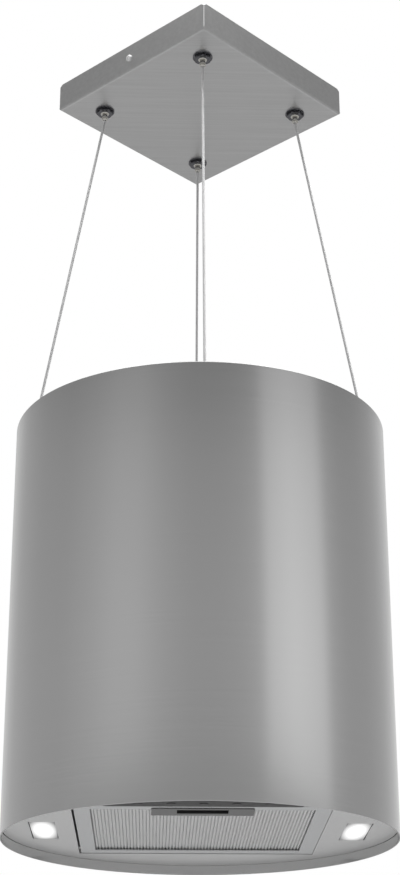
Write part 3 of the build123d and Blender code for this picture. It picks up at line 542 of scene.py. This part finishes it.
# %% Build the ribbed net's tree
def ribbed_net_tree():
    """A grid that is lifted into ribs across X and pierced in a brick pattern."""
    tree = bpy.data.node_groups.new("ribbed net", "GeometryNodeTree")
    sockets = {
        "geometry": input_socket(tree, "Geometry", "NodeSocketGeometry", None),
        "size x": input_socket(tree, "Size X", "NodeSocketFloat", 0.2),
        "size y": input_socket(tree, "Size Y", "NodeSocketFloat", 0.2),
        "pitch": input_socket(tree, "Rib pitch", "NodeSocketFloat", 3.3 * MM),
        "height": input_socket(tree, "Rib height", "NodeSocketFloat", 1.9 * MM),
        "cells": input_socket(tree, "Cells across", "NodeSocketInt", 64),
        "rows": input_socket(tree, "Rows along", "NodeSocketInt", 64),
        "centre": input_socket(tree, "Centre", "NodeSocketVector", (0, 0, 0)),
        "finish": input_socket(tree, "Finish", "NodeSocketMaterial", None),
    }
    tree.interface.new_socket("Geometry", in_out="OUTPUT", socket_type="NodeSocketGeometry")
    given = add(tree, "NodeGroupInput").outputs
    grid = add(tree, "GeometryNodeMeshGrid", {"Size X": given["Size X"], "Size Y": given["Size Y"],
                                              "Vertices X": given["Cells across"],
                                              "Vertices Y": given["Rows along"]})
    point = add(tree, "ShaderNodeSeparateXYZ", {0: add(tree, "GeometryNodeInputPosition").outputs[0]}).outputs
    phase = add(tree, "ShaderNodeMath", {0: point["X"], 1: given["Rib pitch"]}, operation="DIVIDE").outputs[0]
    turn = add(tree, "ShaderNodeMath", {0: phase, 1: math.tau}, operation="MULTIPLY").outputs[0]
    wave = add(tree, "ShaderNodeMath", {0: turn}, operation="COSINE").outputs[0]
    half = add(tree, "ShaderNodeMath", {0: given["Rib height"], 1: 0.5}, operation="MULTIPLY").outputs[0]
    lift = add(tree, "ShaderNodeMath", {0: wave, 1: half}, operation="MULTIPLY").outputs[0]
    offset = add(tree, "ShaderNodeCombineXYZ", {"Z": lift}).outputs[0]
    ribbed = add(tree, "GeometryNodeSetPosition", {"Geometry": grid.outputs["Mesh"], "Offset": offset})
    # Faces are numbered along Y, so the remainder is a face's row; three rows in four open at the valleys.
    number = add(tree, "GeometryNodeInputIndex").outputs[0]
    rows = add(tree, "ShaderNodeMath", {0: given["Rows along"], 1: 1.0}, operation="SUBTRACT").outputs[0]
    row = add(tree, "ShaderNodeMath", {0: number, 1: rows}, operation="MODULO").outputs[0]
    rib = add(tree, "ShaderNodeMath", {0: phase}, operation="ROUND").outputs[0]
    shifted = add(tree, "ShaderNodeMath", {0: rib, 1: 2.0, 2: row}, operation="MULTIPLY_ADD").outputs[0]
    left = add(tree, "ShaderNodeMath", {0: shifted, 1: 4.0}, operation="FLOORED_MODULO").outputs[0]
    slot = add(tree, "FunctionNodeCompare", {0: left, 1: 0.5}, operation="GREATER_THAN").outputs[0]
    valley = add(tree, "FunctionNodeCompare", {0: wave, 1: 0.5}, operation="GREATER_THAN").outputs[0]
    opened = add(tree, "FunctionNodeBooleanMath", {0: slot, 1: valley}, operation="AND").outputs[0]
    pierced = add(tree, "GeometryNodeDeleteGeometry", {"Geometry": ribbed.outputs[0], "Selection": opened},
                  domain="FACE")
    placed = add(tree, "GeometryNodeTransform",
                 {"Geometry": pierced.outputs[0], "Translation": given["Centre"]})
    real = add(tree, "GeometryNodeRealizeInstances", {0: placed.outputs[0]})
    dressed = add(tree, "GeometryNodeSetMaterial", {"Geometry": real.outputs[0], "Material": given["Finish"]})
    add(tree, "NodeGroupOutput", {0: dressed.outputs[0]})
    return tree, sockets


netting, netting_sockets = ribbed_net_tree()
print("ribbed net tree:", len(netting.nodes), "nodes")

# %% [markdown]
# The net fills the cassette's frame and has a gap where the grip's pocket comes through. Its ribs have to
# keep clear of the frame's face and of the wool behind, so with the foil's thickness they are no taller
# than the frame's own sheet.

# %% Press the net and cut the pocket's gap
def cut_box(data, low, high):
    """Removes the faces whose centres lie in a box."""
    mesh = bmesh.new()
    mesh.from_mesh(data)
    inside = [f for f in mesh.faces
              if all(low[k] < f.calc_center_median()[k] < high[k] for k in range(3))]
    bmesh.ops.delete(mesh, geom=inside, context="FACES")
    mesh.to_mesh(data)
    mesh.free()


def thicken(piece, thickness):
    """Gives a sheet its thickness, to both sides, and applies it."""
    solid = piece.modifiers.new("wall", "SOLIDIFY")
    solid.thickness = thickness
    solid.offset = 0.0
    bpy.context.view_layer.update()
    data = bpy.data.meshes.new_from_object(piece.evaluated_get(bpy.context.evaluated_depsgraph_get()))
    piece.modifiers.clear()
    piece.data = data


net_low, net_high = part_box("filter_mesh")
net_centre = (net_low + net_high) / 2
net_x, net_y = net_high.x - net_low.x - 1 * MM, net_high.y - net_low.y - 1 * MM
rib_count = round(net_x / (3.3 * MM))
rib_pitch = net_x / rib_count
cells_per_rib, row_length = 6, 1.9 * MM
seed = bpy.data.objects.new("net seed", bpy.data.meshes.new("net seed"))
bpy.context.scene.collection.objects.link(seed)
net = grow(seed, "filter_net", netting, netting_sockets, size_x=net_x, size_y=net_y, pitch=rib_pitch,
           height=1.9 * MM, cells=rib_count * cells_per_rib + 1, rows=int(net_y / row_length) + 1,
           centre=net_centre, finish=mesh_alloy)
pocket_x, pocket_near, pocket_far, any_height = 25.4 * MM, -108.4 * MM, -89.6 * MM, 10
cut_box(net.data, (-pocket_x, pocket_near, -any_height), (pocket_x, pocket_far, any_height))
foil = 0.35 * MM
thicken(net, foil)
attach(net, "filter")
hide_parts("filter_mesh")
print("net:", len(net.data.polygons), "faces,", round(net_x * 1000), "by", round(net_y * 1000), "mm")

# %% [markdown]
# ## Raised lips round the outlet's slots
# The lid's slots are pressed, so each has a low rounded lip that stiffens the sheet and stops steam that
# condenses there from running in. There are eleven, all alike: one lip is a closed line with two straight
# sides and two round ends, swept by a small circle and set on a row of points.

# %% Build the lips' tree and set them on the lid
def lip_tree():
    """A row of closed round-ended loops, swept by a small circle."""
    tree = bpy.data.node_groups.new("slot lips", "GeometryNodeTree")
    sockets = {
        "geometry": input_socket(tree, "Geometry", "NodeSocketGeometry", None),
        "half length": input_socket(tree, "Half length", "NodeSocketFloat", 50 * MM),
        "end radius": input_socket(tree, "End radius", "NodeSocketFloat", 3 * MM),
        "wire": input_socket(tree, "Lip radius", "NodeSocketFloat", 0.6 * MM),
        "pitch": input_socket(tree, "Pitch", "NodeSocketFloat", 9 * MM),
        "count": input_socket(tree, "Count", "NodeSocketInt", 11),
        "middle": input_socket(tree, "Middle", "NodeSocketVector", (0, 0, 0)),
        "finish": input_socket(tree, "Finish", "NodeSocketMaterial", None),
    }
    tree.interface.new_socket("Geometry", in_out="OUTPUT", socket_type="NodeSocketGeometry")
    given = add(tree, "NodeGroupInput").outputs
    circle = add(tree, "GeometryNodeCurvePrimitiveCircle", {"Resolution": 24, "Radius": given["End radius"]})
    point = add(tree, "ShaderNodeSeparateXYZ", {0: add(tree, "GeometryNodeInputPosition").outputs[0]}).outputs
    sign = add(tree, "ShaderNodeMath", {0: point["X"]}, operation="SIGN").outputs[0]
    shift = add(tree, "ShaderNodeMath", {0: sign, 1: given["Half length"]}, operation="MULTIPLY").outputs[0]
    apart = add(tree, "ShaderNodeCombineXYZ", {"X": shift}).outputs[0]
    loop = add(tree, "GeometryNodeSetPosition", {"Geometry": circle.outputs["Curve"], "Offset": apart})
    wire = add(tree, "GeometryNodeCurvePrimitiveCircle", {"Resolution": 8, "Radius": given["Lip radius"]})
    lip = add(tree, "GeometryNodeCurveToMesh",
              {"Curve": loop.outputs[0], "Profile Curve": wire.outputs["Curve"]})
    step = add(tree, "ShaderNodeCombineXYZ", {"Y": given["Pitch"]}).outputs[0]
    less = add(tree, "ShaderNodeMath", {0: given["Count"], 1: 1.0}, operation="SUBTRACT").outputs[0]
    back = add(tree, "ShaderNodeMath", {0: less, 1: -0.5}, operation="MULTIPLY").outputs[0]
    first = add(tree, "ShaderNodeVectorMath", {0: step, "Scale": back}, operation="SCALE").outputs[0]
    start = add(tree, "ShaderNodeVectorMath", {0: first, 1: given["Middle"]}, operation="ADD").outputs[0]
    row = add(tree, "GeometryNodeMeshLine",
              {"Count": given["Count"], "Start Location": start, "Offset": step})
    placed = add(tree, "GeometryNodeInstanceOnPoints", {"Points": row.outputs[0], "Instance": lip.outputs[0]})
    real = add(tree, "GeometryNodeRealizeInstances", {0: placed.outputs[0]})
    dressed = add(tree, "GeometryNodeSetMaterial", {"Geometry": real.outputs[0], "Material": given["Finish"]})
    add(tree, "NodeGroupOutput", {0: dressed.outputs[0]})
    return tree, sockets


lips, lip_sockets = lip_tree()
lid_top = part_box("top_cover")[1].z
slot_length, slot_width, slot_pitch, slot_count = 112 * MM, 5 * MM, 9 * MM, 11
lip_wire, slots_y = 0.6 * MM, 15 * MM
seed = bpy.data.objects.new("lip seed", bpy.data.meshes.new("lip seed"))
bpy.context.scene.collection.objects.link(seed)
slot_lips = grow(seed, "slot_lips", lips, lip_sockets, half_length=(slot_length - slot_width) / 2,
                 end_radius=slot_width / 2 + lip_wire, wire=lip_wire, pitch=slot_pitch, count=slot_count,
                 middle=(0, slots_y, lid_top + 0.1 * MM), finish=sheet_zinc)
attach(slot_lips, "hood")
print("lips:", slot_count, "round slots, lid at", round(lid_top, 4))

# %% [markdown]
# ## The room's light
# Polished and brushed metal has almost no look of its own: it shows what stands round it. A drum like
# this is best lit in a tent of white cloth, with a bright softbox on the right, a dim one on the left,
# dark flags between them and pale cloth behind. The tent is drawn here in the world's own shader. The
# direction round the upright axis picks the softboxes from a ramp, and the height above the floor dims
# them towards the top. The camera itself sees plain white, which is the paper backdrop.

# %% Draw the tent
# The tent's brightness by direction round the upright axis, in degrees from the front.
TENT = (
    (-180, 0.80), (-152, 0.60), (-138, 0.49), (-112, 0.42), (-88, 0.41), (-68, 0.47), (-52, 0.54),
    (-38, 0.54), (-22, 0.45), (-6, 0.40), (10, 0.40), (24, 0.43), (34, 0.49), (38, 0.72), (54, 0.82),
    (74, 0.72), (79, 0.47), (92, 0.40), (110, 0.40), (128, 0.46), (146, 0.60), (164, 0.76), (180, 0.80),
)
# How the tent's brightness changes with the direction's height, from -1 straight down to 1 straight up.
TENT_FALL = ((-0.1, 1.05), (0.17, 1.10), (0.30, 1.04), (0.42, 0.98), (0.54, 0.66), (0.75, 0.6))


def light_tent(scene):
    """A world of softboxes by compass direction, in degrees from the front, with a plain white backdrop."""
    world = bpy.data.worlds.new("light tent")
    scene.world = world
    world.use_nodes = True
    tree = world.node_tree
    tree.nodes.clear()
    direction = add(tree, "ShaderNodeTexCoord").outputs["Generated"]
    ray = add(tree, "ShaderNodeSeparateXYZ", {0: direction}).outputs
    front = add(tree, "ShaderNodeMath", {0: ray["Y"], 1: -1.0}, operation="MULTIPLY").outputs[0]
    turn = add(tree, "ShaderNodeMath", {0: ray["X"], 1: front}, operation="ARCTAN2").outputs[0]
    inputs = {"Value": turn, "From Min": -math.pi, "From Max": math.pi, "To Min": 0.0, "To Max": 1.0}
    around = add(tree, "ShaderNodeMapRange", inputs).outputs["Result"]
    boxes = add(tree, "ShaderNodeValToRGB", {"Fac": around})
    ramp = boxes.color_ramp
    for degrees, light in TENT[1:-1]:
        stop = ramp.elements.new((degrees + 180) / 360)
        stop.color = (light, light, light, 1)
    for stop, (_, light) in zip((ramp.elements[0], ramp.elements[-1]), (TENT[0], TENT[-1])):
        stop.color = (light, light, light, 1)
    inputs = {"Value": ray["Z"], "From Min": -1.0, "From Max": 1.0, "To Min": 0.0, "To Max": 1.0}
    level_up = add(tree, "ShaderNodeMapRange", inputs).outputs["Result"]
    height = add(tree, "ShaderNodeValToRGB", {"Fac": level_up})
    fall = height.color_ramp
    fall.elements[0].color = (0.9, 0.9, 0.9, 1)
    fall.elements[1].color = (0.7, 0.7, 0.7, 1)
    for level, light in TENT_FALL:
        stop = fall.elements.new((level + 1) / 2)
        stop.color = (light, light, light, 1)
    tent = add(tree, "ShaderNodeMix", {"Factor": 1.0, 6: boxes.outputs[0], 7: height.outputs[0]},
               data_type="RGBA", blend_type="MULTIPLY").outputs[2]
    lit = add(tree, "ShaderNodeBackground", {"Color": tent, "Strength": 1.0})
    paper = add(tree, "ShaderNodeBackground", {"Color": (1, 1, 1, 1), "Strength": 1.0})
    seen = add(tree, "ShaderNodeLightPath").outputs["Is Camera Ray"]
    shown = add(tree, "ShaderNodeMixShader", {0: seen, 1: lit.outputs[0], 2: paper.outputs[0]})
    add(tree, "ShaderNodeOutputWorld", {0: shown.outputs[0]})


light_tent(bpy.context.scene)
bpy.context.scene.view_settings.view_transform = "Standard"
print("tent of", len(TENT), "directions")

# %% [markdown]
# ## A lamp above, the floor and the camera
# The underside faces the floor and shows little else, so a large soft lamp overhead lights the floor. The
# floor is pale and plain, at the height of a hob below the hood. The camera stands in front of the hood,
# about a third of a metre below the drum's edge, and looks up at it.

# %% Set the lamp, the floor and the camera
def soft_lamp(name, place, target, size, power):
    """A square area lamp that faces a point."""
    data = bpy.data.lights.new(name, "AREA")
    data.shape = "SQUARE"
    data.size = size
    data.energy = power
    lamp = bpy.data.objects.new(name, data)
    lamp.location = place
    lamp.rotation_euler = (Vector(target) - Vector(place)).to_track_quat("-Z", "Y").to_euler()
    bpy.context.scene.collection.objects.link(lamp)
    return lamp


soft_lamp("overhead softbox", (0, 0, 1.6), (0, 0, base_z), 3.0, 60.0)

floor_data = bpy.data.meshes.new("floor")
half = 40.0
floor_z = base_z - 0.75
floor_data.from_pydata([(-half, -half, floor_z), (half, -half, floor_z), (half, half, floor_z),
                        (-half, half, floor_z)], [], [(0, 1, 2, 3)])
floor = bpy.data.objects.new("floor", floor_data)
bpy.context.scene.collection.objects.link(floor)
floor_paint, floor_tree, floor_shader, floor_place = start_material("matt white studio paint", Roughness=0.8)
floor_tree.links.new(tint(floor_tree, grain(floor_tree, floor_place, (90, 90, 90)), "ebebeb", "ededed"),
                     floor_shader.inputs["Base Color"])
floor_data.materials.append(floor_paint)

camera_data = bpy.data.cameras.new("camera")
camera_data.lens = 74.37
camera_data.sensor_width = 36.0
camera = bpy.data.objects.new("camera", camera_data)
distance, step_aside, tilt_up = 1780.5 * MM, math.radians(1.5), math.radians(23.02)
camera.location = (-distance * math.sin(step_aside), -distance * math.cos(step_aside), base_z - 327.3 * MM)
camera.rotation_euler = (math.pi / 2 + tilt_up, 0, -step_aside)
bpy.context.scene.collection.objects.link(camera)
bpy.context.scene.camera = camera
print("camera at", [round(c, 3) for c in camera.location])
